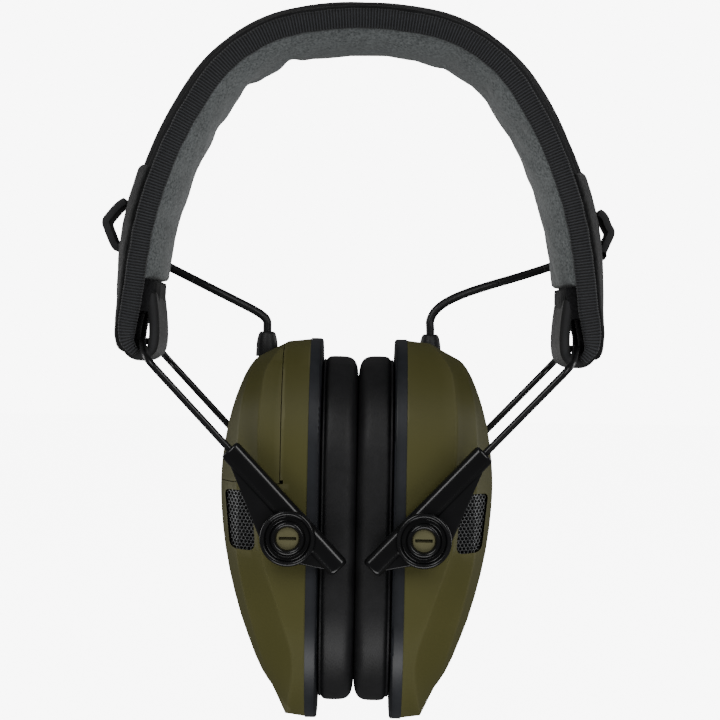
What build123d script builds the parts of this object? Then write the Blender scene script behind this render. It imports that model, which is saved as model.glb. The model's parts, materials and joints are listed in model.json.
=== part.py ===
"""Electronic earmuff hearing protector: two slim cups on sprung wire yokes under a padded fabric headband.

Millimetres, +Z up, X across the head, +Y to the back. The origin is the middle of the headband
pad's underside, where it sits on the head. Pieces are drawn on the +X side ("r") and mirrored
to the -X side ("l").
"""

import math
import os

from build123d import *

os.makedirs("parts", exist_ok=True)

# ---- headband -------------------------------------------------------------------------------
crown_z = 8.0  # band centre line above the origin
crown_radius, crown_turn = 95.0, 12.0
shoulder_radius, shoulder_turn = 42.0, 44.0
side_radius, side_turn = 120.0, 27.0
straight_run = 12.0  # straight end of the band
pad_stop = 7.0  # the pad stops this far short of the band's end
band_half = 19.4  # half width between the edge bindings
binding_width, binding_height = 3.0, 5.8
spring_width, spring_thick = 30.0, 1.0
layer_gap = 0.1
edge_v = binding_height / 2  # cover and pad are this thick at the bindings
cover_crown, pad_crown = 7.0, 8.0
flap_half, flap_thick, flap_turn = 17.0, 1.4, 14.0
tab_half = 8.0

# ---- end loops and yoke wires ---------------------------------------------------------------
bar_x, bar_z = 63.7, -87.6  # axis on which each yoke swings
slot_width = 3.4
loop_half = 19.0
loop_inner, loop_outer, loop_bottom = 58.8, 71.4, -92.8
wire_radius, wire_clearance = 1.05, 0.1
bar_half = 20.0
leg_y = 42.2  # the yoke's legs and the slider arms lie this far from the middle
leg_insert = 16.0  # length of leg inside the arm at rest
shoulder_from_arm = 35.2  # exposed leg between the arm and the wire's shoulder

# ---- cups -----------------------------------------------------------------------------------
cup_z = -142.2  # middle of the cup
cushion_face_x, cushion_back_x, plate_back_x = 0.35, 10.65, 14.2
plate_size, plate_corner = (78.5, 113.0), 33.0
cushion_size, cushion_corner = (71.0, 101.5), 31.0
ear_size, ear_corner = (42.0, 64.0), 20.0
wall = 2.2
gap = 0.2
# Shell outlines: distance behind the plate, middle height, width, height, corner radius, tilt in degrees.
shell_rings = (
    (0.0, cup_z, 77.6, 112.4, 32.5, 0.0),
    (10.0, -138.0, 74.0, 104.0, 30.0, 7.0),
    (18.6, -132.0, 60.0, 78.0, 25.0, 6.0),
    (24.6, -128.0, 36.0, 40.0, 15.0, 4.0),
)

# ---- arms and pivots ------------------------------------------------------------------------
hub_x, hub_z = 19.4, -143.2  # pivot of the cup in its arms
hub_radius, hub_inner_y, hub_outer_y = 7.6, 39.4, 45.0
pin_radius, pin_clearance = 3.2, 0.06
arm_top_x, arm_top_z = 36.5, -118.1
arm_length, arm_radius, arm_slope = 46.5, 2.75, 46.4  # slope below the horizontal, in degrees

# ---- electronics ----------------------------------------------------------------------------
seam_x, seam_z = 22.0, -128.0  # battery door: outside seam_x and above seam_z
gland_y = 8.0
gland_x = {"r": 21.5, "l": 28.0}
gland_base_z, gland_top_z = -90.5, -82.6
cable_radius = 1.3
jack_radius, jack_bore, jack_depth = 3.0, 1.8, 12.0
control_x, control_z = 20.5, -158.0  # volume dial and audio jack on the back wall
post_radius, screw_radius = 3.2, 1.1
post_spots = ((32.8, -116.2), (29.5, -178.2))  # distance from the middle, height

half_turn = math.radians(crown_turn + shoulder_turn + side_turn)
end_dir = Vector(math.cos(half_turn), 0, -math.sin(half_turn))
slope = math.radians(arm_slope)
arm_dir = Vector(-math.cos(slope), 0, -math.sin(slope))  # down the arm, towards the cup's face
arm_out = Vector(math.sin(slope), 0, -math.cos(slope))  # from the arm's tube towards its hub
arm_top = Vector(arm_top_x, 0, arm_top_z)
hub = Vector(hub_x, 0, hub_z)
SIDES = ("r", "l")


def save(solid, name):
    """Labels a finished piece and writes it as its own STEP file."""
    solid.label = name
    export_step(solid, f"parts/{name}.step")


def on_side(solid, side):
    """The piece as drawn for the +X side, or its mirror image for the -X side."""
    return solid if side == "r" else mirror(solid, about=Plane.YZ)


def save_pair(solid, name):
    for side in SIDES:
        save(on_side(solid, side), f"{name}_{side}")


# ---- the band's path and its layers ---------------------------------------------------------
def half_path(run):
    """Right half of the band's centre line, from the crown down to its end."""
    with BuildLine(Plane.XZ) as path:
        crown = JernArc((0, crown_z), (1, 0), crown_radius, -crown_turn)
        shoulder = JernArc(crown @ 1, crown % 1, shoulder_radius, -shoulder_turn)
        side = JernArc(shoulder @ 1, shoulder % 1, side_radius, -side_turn)
        Line(side @ 1, (side @ 1) + (side % 1) * run)
    return path.line


def strip_section(inner, edge, top, half):
    """A strip's section at the crown: flat at inner, edge high at both sides, top high in the middle."""
    with BuildSketch(start_plane) as section:
        with BuildLine():
            Polyline((-half, edge), (-half, inner), (half, inner), (half, edge))
            ThreePointArc((half, edge), (0, top), (-half, edge))
        make_face()
    return section.sketch


def swept_both_ways(section, path):
    with BuildPart() as strip:
        sweep(section, path=path)
        mirror(about=Plane.YZ)
    return strip.part


band_path = half_path(straight_run)
pad_path = half_path(straight_run - pad_stop)
start_plane = Plane(origin=(0, 0, crown_z), x_dir=(0, 1, 0), z_dir=(1, 0, 0))
end_plane = Plane(origin=band_path @ 1, x_dir=(0, 1, 0), z_dir=end_dir)
pad_end_plane = Plane(origin=pad_path @ 1, x_dir=(0, 1, 0), z_dir=end_dir)

with BuildSketch(start_plane) as spring_section:
    Rectangle(spring_width, spring_thick)
save(swept_both_ways(spring_section.sketch, band_path), "band_spring")

cover_section = strip_section(spring_thick / 2 + layer_gap, edge_v, cover_crown, band_half)
save(swept_both_ways(cover_section, band_path), "band_cover")

pad_section = strip_section(-spring_thick / 2 - layer_gap, -edge_v, -pad_crown, band_half)
save(swept_both_ways(pad_section, pad_path), "band_pad")

for name, y_side in (("band_binding_front", -1), ("band_binding_rear", 1)):
    with BuildSketch(start_plane) as binding_section:
        with Locations((y_side * (band_half + layer_gap + binding_width / 2), 0)):
            RectangleRounded(binding_width, binding_height, 1.2)
    save(swept_both_ways(binding_section.sketch, band_path), name)

# Fabric cuff that closes the pad's end and covers the root of the loop.
cuff_inner, cuff_outer = spring_thick / 2 + layer_gap, 7.2
with BuildPart() as cuff:
    with BuildSketch(pad_end_plane.offset(layer_gap)):
        with Locations((0, -(cuff_inner + cuff_outer) / 2)):
            RectangleRounded(2 * loop_half, cuff_outer - cuff_inner, 1.2)
    extrude(amount=pad_stop - 2 * layer_gap)
save_pair(cuff.part, "pad_cuff")

# Hook-and-loop flap that closes each end of the cover, on the outside of the band.
arc_radius = (band_half**2 + (cover_crown - edge_v) ** 2) / (2 * (cover_crown - edge_v))
flap_base = cover_crown + layer_gap
flap_edge = flap_base - arc_radius + math.sqrt(arc_radius**2 - flap_half**2)
with BuildLine(Plane.XZ) as flap_line:
    straight = Line(band_path @ 1, (band_path @ 1) - end_dir * straight_run)
    JernArc(straight @ 1, straight % 1, side_radius, flap_turn)
with BuildSketch(end_plane) as flap_section:
    with BuildLine():
        ThreePointArc((-flap_half, flap_edge), (0, flap_base), (flap_half, flap_edge))
        Line((flap_half, flap_edge), (flap_half, flap_edge + flap_thick))
        ThreePointArc(
            (flap_half, flap_edge + flap_thick),
            (0, flap_base + flap_thick),
            (-flap_half, flap_edge + flap_thick),
        )
        Line((-flap_half, flap_edge + flap_thick), (-flap_half, flap_edge))
    make_face()
with BuildPart() as flap:
    sweep(flap_section.sketch, path=flap_line.line)
save_pair(flap.part, "closure_flap")

# Folded strap that the yoke's bar turns in: an inner wall, a bottom bend and an outer wall.
with BuildPart() as loop:
    with BuildSketch(Plane.XZ):
        width = loop_outer - loop_inner
        with Locations(((loop_inner + loop_outer) / 2, (loop_bottom - 66) / 2)):
            RectangleRounded(width, -66 - loop_bottom, width / 2 - 0.4)
        with Locations((bar_x, bar_z + slot_width)):
            SlotOverall(3 * slot_width, slot_width, rotation=90, mode=Mode.SUBTRACT)
        with Locations((bar_x, bar_z + 14)):
            Rectangle(slot_width, 22, mode=Mode.SUBTRACT)
    extrude(amount=loop_half, both=True)
    split(bisect_by=end_plane.offset(layer_gap), keep=Keep.TOP)
save_pair(loop.part, "end_loop")

# Pull tab: a strap folded into a triangle that stands off the flap. The left one stands further out.
with BuildPart() as flap_clearance:
    with BuildSketch(end_plane) as clearance_section:
        with BuildLine():
            top = ThreePointArc(
                (-flap_half, flap_edge + flap_thick + layer_gap),
                (0, flap_base + flap_thick + layer_gap),
                (flap_half, flap_edge + flap_thick + layer_gap),
            )
            Polyline(top @ 1, (flap_half, 0), (-flap_half, 0), top @ 0)
        make_face()
    sweep(clearance_section.sketch, path=flap_line.line)

for side, tip_x in (("r", 75.6), ("l", 77.6)):
    with BuildPart() as tab:
        with BuildSketch(Plane.XZ):
            with BuildLine():
                outer = FilletPolyline((66.0, -42.6), (tip_x, -51.8), (73.6, -60.8), (68.0, -62.0), radius=1.6)
                Line(outer @ 1, outer @ 0)
            make_face()
            with BuildLine():
                Polyline((69.0, -46.0), (tip_x - 2.6, -52.0), (tip_x - 4.6, -57.4), (69.0, -57.4), close=True)
            make_face(mode=Mode.SUBTRACT)
        extrude(amount=tab_half, both=True)
        add(flap_clearance.part, mode=Mode.SUBTRACT)
    save(on_side(tab.part, side), f"pull_tab_{side}")

# ---- yoke wires -----------------------------------------------------------------------------
leg_shift = Vector(0, -leg_y, 0)
leg_end = arm_top + arm_dir * leg_insert + leg_shift
leg_shoulder = arm_top - arm_dir * shoulder_from_arm + leg_shift
bar_corner = Vector(bar_x, -bar_half, bar_z)


def to_rear(point):
    return Vector(point.X, -point.Y, point.Z)


with BuildLine() as wire_line:
    FilletPolyline(
        leg_end,
        leg_shoulder,
        bar_corner,
        to_rear(bar_corner),
        to_rear(leg_shoulder),
        to_rear(leg_end),
        radius=5.5,
    )
with BuildPart() as yoke:
    with BuildSketch(Plane(origin=leg_end, z_dir=arm_dir)) as wire_section:
        Circle(wire_radius)
    sweep(wire_section.sketch, path=wire_line.line)
save_pair(yoke.part, "yoke_wire")

# ---- slider arms: a tube for the wire's leg, a hub for the cup's pivot and a web between ------
arm_bottom = arm_top + arm_dir * arm_length
hub_depth = hub_outer_y - hub_inner_y
web_inner_y, web_thick = 40.8, 2.8


def flat(point):
    return (point.X, point.Z)


with BuildPart() as arm:
    with BuildSketch(Plane(origin=arm_top + leg_shift, z_dir=arm_dir)):
        Circle(arm_radius)
    extrude(amount=arm_length)
    with BuildSketch(Plane.XZ.offset(hub_inner_y)):
        with Locations((hub_x, hub_z)):
            Circle(hub_radius)
    extrude(amount=hub_depth)
    with BuildSketch(Plane.XZ.offset(web_inner_y)):
        with BuildLine():
            Polyline(
                flat(arm_top + arm_dir + arm_out),
                flat(arm_top + arm_dir + arm_out * 2.6),
                flat(hub + arm_out * 5.55 - arm_dir * 4.9),
                flat(hub + arm_out * 5.0),
                flat(hub + arm_out * 3.6 + arm_dir * 6.1),
                flat(arm_bottom - arm_dir * 2 + arm_out * 2.6),
                flat(arm_bottom - arm_dir * 2 + arm_out),
                close=True,
            )
        make_face()
    extrude(amount=web_thick)
    # ring groove and dished centre on the hub's outer face
    with BuildSketch(Plane.XZ.offset(hub_outer_y)):
        with Locations((hub_x, hub_z)):
            Circle(6.7)
            Circle(5.2, mode=Mode.SUBTRACT)
            Circle(4.1)
    extrude(amount=-0.8, mode=Mode.SUBTRACT)
    with BuildSketch(Plane.XZ.offset(hub_inner_y)):
        with Locations((hub_x, hub_z)):
            Circle(pin_radius + pin_clearance)
    extrude(amount=hub_depth, mode=Mode.SUBTRACT)
    with BuildSketch(Plane(origin=arm_top + leg_shift, z_dir=arm_dir)):
        Circle(wire_radius + wire_clearance)
    extrude(amount=arm_length - 2.5, mode=Mode.SUBTRACT)
save_pair(arm.part, "slider_arm_front")
save_pair(mirror(arm.part, about=Plane.XZ), "slider_arm_rear")

# ---- cup shells -----------------------------------------------------------------------------
def shell_loft(inset, face_inset, start):
    """The faceted shell's outside, drawn in by inset at the sides and face_inset at the face."""
    last = len(shell_rings) - 1
    sections = []
    for index, (depth, middle_z, width, height, corner, tilt) in enumerate(shell_rings):
        lean = math.radians(tilt)
        x = plate_back_x + (start if index == 0 else depth - face_inset * index / last)
        ring_plane = Plane(origin=(x, 0, middle_z), x_dir=(0, 1, 0), z_dir=(math.cos(lean), 0, -math.sin(lean)))
        with BuildSketch(ring_plane) as ring:
            RectangleRounded(width - 2 * inset, height - 2 * inset, corner - inset)
        sections.append(ring.sketch)
    with BuildPart() as body:
        loft(sections, ruled=True)
    return body.part


def rounded_block(size, corner, x_from, x_to, z=cup_z):
    """Rounded block standing parallel to the ear, from x_from out to x_to."""
    with BuildPart() as block:
        with BuildSketch(Plane.YZ.offset(x_from)):
            with Locations((0, z)):
                RectangleRounded(size[0], size[1], corner)
        extrude(amount=x_to - x_from)
    return block.part


outer_shape = shell_loft(0, 0, 0)
inner_shape = shell_loft(wall, wall, -1)

# The hollow inside, leaving four screw posts standing on the side walls.
with BuildPart() as cavity:
    add(inner_shape)
    for post_y, post_z in post_spots:
        with BuildSketch(Plane.YZ.offset(plate_back_x)):
            with Locations((-post_y, post_z), (post_y, post_z)):
                Circle(post_radius)
        extrude(amount=5, mode=Mode.SUBTRACT)

with BuildPart() as full_shell:
    add(outer_shape)
    add(cavity.part, mode=Mode.SUBTRACT)
    for post_y, post_z in post_spots:
        with BuildSketch(Plane.YZ.offset(plate_back_x)):
            with Locations((-post_y, post_z), (post_y, post_z)):
                Circle(screw_radius + 0.05)
        extrude(amount=4, mode=Mode.SUBTRACT)
    # control hole in the back wall
    with BuildSketch(Plane.XZ.offset(-30)):
        with Locations((control_x, control_z)):
            Circle(2.5)
    extrude(amount=-12, mode=Mode.SUBTRACT)

# Opening for the microphone grille across the front chamfers.
grille_x, grille_bottom_z, grille_top_z, grille_back_y = 29.5, -149.0, -131.0, 17.0
with BuildPart() as grille_opening:
    with BuildSketch(Plane.XZ.offset(grille_back_y)):
        with BuildLine():
            Polyline(
                (grille_x, grille_bottom_z),
                (45, grille_bottom_z),
                (45, grille_top_z),
                (grille_x + 1.2, grille_top_z),
                close=True,
            )
        make_face()
    extrude(amount=30)

with BuildPart() as grille:
    add(shell_loft(0.4, 0.4, 0))
    add(shell_loft(1.5, 1.5, -1), mode=Mode.SUBTRACT)
    with BuildSketch(Plane.XZ.offset(grille_back_y + layer_gap)):
        with BuildLine():
            Polyline(
                (grille_x + layer_gap, grille_bottom_z + layer_gap),
                (45, grille_bottom_z + layer_gap),
                (45, grille_top_z - layer_gap),
                (grille_x + 1.2 + layer_gap, grille_top_z - layer_gap),
                close=True,
            )
        make_face()
    extrude(amount=30, mode=Mode.INTERSECT)
    with BuildSketch(Plane.XZ.offset(10)):
        with Locations((35, (grille_bottom_z + grille_top_z) / 2)):
            with HexLocations(1.25, 4, 7):
                RegularPolygon(0.85, 6)
    extrude(amount=40, mode=Mode.SUBTRACT)
save_pair(grille.part, "mic_grille")

with BuildPart() as shell_r:
    add(full_shell.part)
    add(grille_opening.part, mode=Mode.SUBTRACT)
save(shell_r.part, "cup_shell_r")

# Battery door of the left cup. A tongue of the shell reaches into it and carries the cable gland.
def door_region(clearance):
    with BuildPart() as region:
        with BuildSketch(Plane.XZ):
            with Locations(((seam_x + clearance + 60) / 2, (seam_z + clearance - 60) / 2)):
                Rectangle(60 - seam_x - clearance, -60 - seam_z - clearance)
        extrude(amount=60, both=True)
        with Locations((seam_x, gland_y, -87)):
            Box(2 * (11 + clearance), 9 + 2 * clearance, 12 + 2 * clearance, mode=Mode.SUBTRACT)
    return region.part


with BuildPart() as door:
    add(full_shell.part)
    add(door_region(gap), mode=Mode.INTERSECT)
    add(grille_opening.part, mode=Mode.SUBTRACT)
save(on_side(door.part, "l"), "battery_door")

with BuildPart() as shell_l:
    add(shell_r.part)
    add(door_region(0), mode=Mode.SUBTRACT)
save(on_side(shell_l.part, "l"), "cup_shell_l")

# ---- plate, cushion and clip ring -----------------------------------------------------------
ring_size = (ear_size[0] + 10, ear_size[1] + 10)
with BuildPart() as plate:
    with BuildSketch(Plane.YZ.offset(cushion_back_x + 0.05)):
        with Locations((0, cup_z)):
            RectangleRounded(plate_size[0], plate_size[1], plate_corner)
            RectangleRounded(ear_size[0] + 2, ear_size[1] + 2, ear_corner + 1, mode=Mode.SUBTRACT)
    extrude(amount=plate_back_x - cushion_back_x - 0.1)
    for post_y, post_z in post_spots:
        with BuildSketch(Plane.YZ.offset(cushion_back_x + 0.05)):
            with Locations((-post_y, post_z), (post_y, post_z)):
                Circle(2.4)
        extrude(amount=1.6, mode=Mode.SUBTRACT)
        with BuildSketch(Plane.YZ.offset(cushion_back_x)):
            with Locations((-post_y, post_z), (post_y, post_z)):
                Circle(screw_radius + 0.05)
        extrude(amount=5, mode=Mode.SUBTRACT)
    fillet(plate.faces().sort_by(Axis.X)[0].outer_wire().edges(), 0.8)
save_pair(plate.part, "base_plate")

with BuildPart() as screws:
    for post_y, post_z in post_spots:
        with BuildSketch(Plane.YZ.offset(cushion_back_x + 0.15)):
            with Locations((-post_y, post_z), (post_y, post_z)):
                Circle(2.2)
        extrude(amount=1.4)
        with BuildSketch(Plane.YZ.offset(cushion_back_x + 0.6)):
            with Locations((-post_y, post_z), (post_y, post_z)):
                Circle(screw_radius)
        extrude(amount=6.6)
        with BuildSketch(Plane.YZ.offset(cushion_back_x + 0.15)):
            with Locations((-post_y, post_z), (post_y, post_z)):
                Rectangle(2.4, 0.5)
                Rectangle(0.5, 2.4)
        extrude(amount=0.7, mode=Mode.SUBTRACT)
save_pair(screws.part, "plate_screws")

with BuildPart() as cushion:
    with BuildSketch(Plane.YZ.offset(cushion_face_x)):
        with Locations((0, cup_z)):
            RectangleRounded(cushion_size[0], cushion_size[1], cushion_corner)
            RectangleRounded(ear_size[0], ear_size[1], ear_corner, mode=Mode.SUBTRACT)
    extrude(amount=cushion_back_x - cushion_face_x)
    fillet(cushion.faces().sort_by(Axis.X)[0].edges(), 4.4)
    fillet(cushion.faces().sort_by(Axis.X)[-1].outer_wire().edges(), 3.0)
save_pair(cushion.part, "ear_cushion")

with BuildPart() as clip_ring:
    with BuildSketch(Plane.YZ.offset(plate_back_x + 0.1)):
        with Locations((0, cup_z)):
            RectangleRounded(ring_size[0], ring_size[1], ear_corner + 5)
            RectangleRounded(ear_size[0] + 2, ear_size[1] + 2, ear_corner + 1, mode=Mode.SUBTRACT)
    extrude(amount=1.4)
save_pair(clip_ring.part, "cushion_clip_ring")

save_pair(rounded_block((50, 72), 20, 16.5, 21.5), "acoustic_foam")

# ---- electronics ----------------------------------------------------------------------------
with BuildPart() as speaker:
    with BuildSketch(Plane.YZ.offset(22)):
        with Locations((0, -148)):
            Circle(18)
    extrude(amount=2)
    with BuildSketch(Plane.YZ.offset(24)):
        with Locations((0, -148)):
            Circle(10)
    extrude(amount=2.6)
save_pair(speaker.part, "speaker")

with BuildPart() as board:
    with BuildSketch(Plane.YZ.offset(28)):
        with Locations((0, -145)):
            RectangleRounded(34, 34, 3)
    extrude(amount=1.2)
    for chip_y, chip_z, chip_w, chip_h in ((-8, -138, 7, 7), (6, -140, 9, 5), (-4, -153, 12, 6), (10, -154, 4, 4)):
        with Locations((29.8, chip_y, chip_z)):
            Box(1.2, chip_w, chip_h)
save_pair(board.part, "circuit_board")

with BuildPart() as microphone:
    with BuildSketch(Plane.XZ.offset(18)):
        with Locations((31.0, -140)):
            Circle(2.6)
    extrude(amount=2.5)
save_pair(microphone.part, "microphone")

battery_x, battery_radius, battery_half = 29.0, 5.25, 22.25
battery_z = (-107.0, -118.5)
with BuildPart() as batteries:
    for z in battery_z:
        with BuildSketch(Plane.XZ.offset(-battery_half)):
            with Locations((battery_x, z)):
                Circle(battery_radius)
        extrude(amount=2 * battery_half - 1)
        with BuildSketch(Plane.XZ.offset(battery_half - 1)):
            with Locations((battery_x, z)):
                Circle(1.9)
        extrude(amount=1)
save(on_side(batteries.part, "l"), "batteries")

with BuildPart() as contacts:
    for y in (-battery_half - 0.7, battery_half + 0.1):
        with BuildSketch(Plane.XZ.offset(-y)):
            for z in battery_z:
                with Locations((battery_x, z)):
                    Rectangle(8, 9)
        extrude(amount=-0.6)
save(on_side(contacts.part, "l"), "battery_contacts")

# Volume dial on the right cup, on its stem; its potentiometer inside the wall.
stem_radius = 2.0
with BuildPart() as dial:
    with BuildSketch(Plane.XZ.offset(-38.3)):
        with Locations((control_x, control_z)):
            Circle(4.2)
    extrude(amount=-0.95)
    with BuildSketch(Plane.XZ.offset(-28.2)):
        with Locations((control_x, control_z)):
            Circle(stem_radius)
    extrude(amount=-10.2)
    with Locations((control_x, 39.25, control_z + 2.6)):
        Box(0.8, 0.8, 2.4, mode=Mode.SUBTRACT)
save(dial.part, "volume_dial")

with BuildPart() as pot:
    with BuildSketch(Plane.XZ.offset(-25.3)):
        with Locations((control_x, control_z)):
            Circle(jack_radius)
    extrude(amount=-4.2)
    with BuildSketch(Plane.XZ.offset(-28.1)):
        with Locations((control_x, control_z)):
            Circle(stem_radius + 0.06)
    extrude(amount=-2, mode=Mode.SUBTRACT)
save(pot.part, "volume_pot")

with BuildPart() as jack:
    with BuildSketch(Plane.XZ.offset(-25.3)):
        with Locations((control_x, control_z)):
            Circle(jack_radius)
    extrude(amount=-4.2)
    with BuildSketch(Plane.XZ.offset(-25.3)):
        with Locations((control_x, control_z)):
            Circle(stem_radius + 0.4)
    extrude(amount=-13.3)
    with BuildSketch(Plane.XZ.offset(-38.6 + jack_depth)):
        with Locations((control_x, control_z)):
            Circle(jack_bore)
    extrude(amount=-jack_depth, mode=Mode.SUBTRACT)
save(on_side(jack.part, "l"), "audio_jack")

# ---- pivot pins and cable glands --------------------------------------------------------------
with BuildPart() as pins:
    for y_side in (-1, 1):
        with BuildSketch(Plane.XZ):
            with Locations((hub_x, hub_z)):
                Circle(pin_radius)
        extrude(amount=-y_side * (hub_outer_y - 0.4))
        with BuildSketch(Plane.XZ):
            with Locations((hub_x, hub_z)):
                Circle(5.1)
        extrude(amount=-y_side * (hub_inner_y - 0.2))
        with Locations((hub_x, y_side * (hub_outer_y - 0.4), hub_z)):
            Box(5.0, 2.0, 0.9, mode=Mode.SUBTRACT)
    add(outer_shape, mode=Mode.SUBTRACT)
save_pair(pins.part, "pivot_pins")

for side in SIDES:
    with BuildPart() as gland:
        with BuildSketch(Plane.XY.offset(gland_base_z)):
            with Locations((gland_x[side], gland_y)):
                RectangleRounded(7.4, 7.0, 2.0)
        extrude(amount=gland_top_z - gland_base_z - 1.4)
        with BuildSketch(Plane.XY.offset(gland_top_z - 1.4)):
            with Locations((gland_x[side], gland_y)):
                Circle(2.4)
        extrude(amount=1.4)
        add(outer_shape, mode=Mode.SUBTRACT)
    save(on_side(gland.part, side), f"cable_gland_{side}")

# ---- cables: from each gland up into the back slope of the pad --------------------------------
cable_points = {
    "r": (
        (21.5, 8.0, -82.4),
        (21.1, 8.2, -79.0),
        (23.2, 8.6, -75.4),
        (28.5, 9.8, -71.6),
        (37.5, 12.0, -68.0),
        (48.5, 14.4, -64.9),
        (57.5, 16.0, -62.6),
        (61.0, 16.0, -53.5),
    ),
    "l": (
        (28.0, 8.0, -82.4),
        (27.9, 8.2, -79.3),
        (31.0, 8.9, -76.6),
        (37.5, 10.4, -74.2),
        (48.0, 13.3, -70.6),
        (57.8, 15.8, -66.3),
        (61.0, 16.0, -56.5),
    ),
}


def bend_radii(points):
    """The largest arc that the two runs beside each inner point allow."""
    radii = []
    for before, corner, after in zip(points, points[1:], points[2:]):
        turn = math.radians((corner - before).get_angle(after - corner))
        shorter = min((corner - before).length, (after - corner).length)
        radii.append(0.45 * shorter / math.tan(turn / 2))
    return radii


for side in SIDES:
    route = [Vector(*point) for point in cable_points[side]]
    radii = bend_radii(route)
    print("cable", side, "bend radii", [round(radius, 1) for radius in radii])
    with BuildLine() as cable_line:
        FilletPolyline(*route, radius=radii)
    with BuildPart() as cable:
        with BuildSketch(Plane(origin=route[0], z_dir=route[1] - route[0])) as cable_section:
            Circle(cable_radius)
        sweep(cable_section.sketch, path=cable_line.line)
    print("cable", side, "length", round(cable.part.volume / (math.pi * cable_radius**2), 1))
    save(on_side(cable.part, side), f"cable_{side}")
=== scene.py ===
import json
import math

import bmesh
import bpy
import numpy as np
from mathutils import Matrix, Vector

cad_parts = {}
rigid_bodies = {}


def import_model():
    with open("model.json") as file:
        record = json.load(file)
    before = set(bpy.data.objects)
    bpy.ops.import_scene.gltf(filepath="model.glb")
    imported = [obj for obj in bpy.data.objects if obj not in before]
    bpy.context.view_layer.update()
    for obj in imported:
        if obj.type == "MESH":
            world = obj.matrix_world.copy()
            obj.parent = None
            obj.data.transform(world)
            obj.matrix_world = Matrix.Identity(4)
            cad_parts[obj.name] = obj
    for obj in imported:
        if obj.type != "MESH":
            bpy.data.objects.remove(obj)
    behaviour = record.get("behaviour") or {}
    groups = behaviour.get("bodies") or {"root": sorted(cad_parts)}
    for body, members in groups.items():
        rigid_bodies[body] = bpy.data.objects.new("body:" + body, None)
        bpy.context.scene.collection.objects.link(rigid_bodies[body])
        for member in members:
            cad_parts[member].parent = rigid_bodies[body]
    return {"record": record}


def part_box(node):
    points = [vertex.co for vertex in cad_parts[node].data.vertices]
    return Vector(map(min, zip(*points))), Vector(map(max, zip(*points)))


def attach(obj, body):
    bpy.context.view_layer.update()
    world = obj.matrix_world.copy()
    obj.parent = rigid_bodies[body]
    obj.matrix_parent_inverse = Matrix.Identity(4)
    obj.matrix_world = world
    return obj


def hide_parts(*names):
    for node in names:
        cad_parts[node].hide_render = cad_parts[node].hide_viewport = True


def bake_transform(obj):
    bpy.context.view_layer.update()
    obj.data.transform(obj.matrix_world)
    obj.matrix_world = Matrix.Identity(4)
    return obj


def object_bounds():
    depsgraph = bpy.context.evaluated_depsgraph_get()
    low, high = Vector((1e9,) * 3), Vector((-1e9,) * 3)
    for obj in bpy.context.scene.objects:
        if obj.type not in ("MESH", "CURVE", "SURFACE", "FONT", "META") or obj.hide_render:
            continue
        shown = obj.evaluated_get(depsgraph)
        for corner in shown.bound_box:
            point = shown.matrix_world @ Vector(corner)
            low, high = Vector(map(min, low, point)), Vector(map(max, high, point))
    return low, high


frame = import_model()
cad_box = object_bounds()
MM = 0.001
SIDES = {"l": -1, "r": 1}


# ---- camera, light and floor ------------------------------------------------------------------
def aim(obj, target):
    """Turns an object so that its -Z looks at target."""
    obj.rotation_euler = (Vector(target) - obj.location).to_track_quat("-Z", "Y").to_euler()


def add_camera():
    data = bpy.data.cameras.new("camera")
    data.sensor_width = 36
    data.angle = math.radians(15.42)
    data.clip_start = 0.05
    camera = bpy.data.objects.new("camera", data)
    bpy.context.collection.objects.link(camera)
    camera.location = (0.0003, -0.8, -0.0921)
    camera.rotation_euler = (math.radians(90), math.radians(-1.04), 0)
    bpy.context.scene.camera = camera


def add_area_light(name, place, target, size, watts):
    data = bpy.data.lights.new(name, "AREA")
    data.shape = "RECTANGLE"
    data.size, data.size_y = size
    data.energy = watts
    light = bpy.data.objects.new(name, data)
    bpy.context.collection.objects.link(light)
    light.location = place
    aim(light, target)


def add_stage(bottom_z, material):
    """A pale floor that only the camera sees, so that it throws no light up at the object."""
    mesh = bmesh.new()
    bmesh.ops.create_grid(mesh, x_segments=1, y_segments=1, size=4)
    data = bpy.data.meshes.new("floor")
    mesh.to_mesh(data)
    mesh.free()
    data.materials.append(material)
    floor = bpy.data.objects.new("floor", data)
    floor.location.z = bottom_z
    floor.visible_diffuse = False
    floor.visible_glossy = False
    floor.visible_shadow = False
    bpy.context.collection.objects.link(floor)


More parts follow.
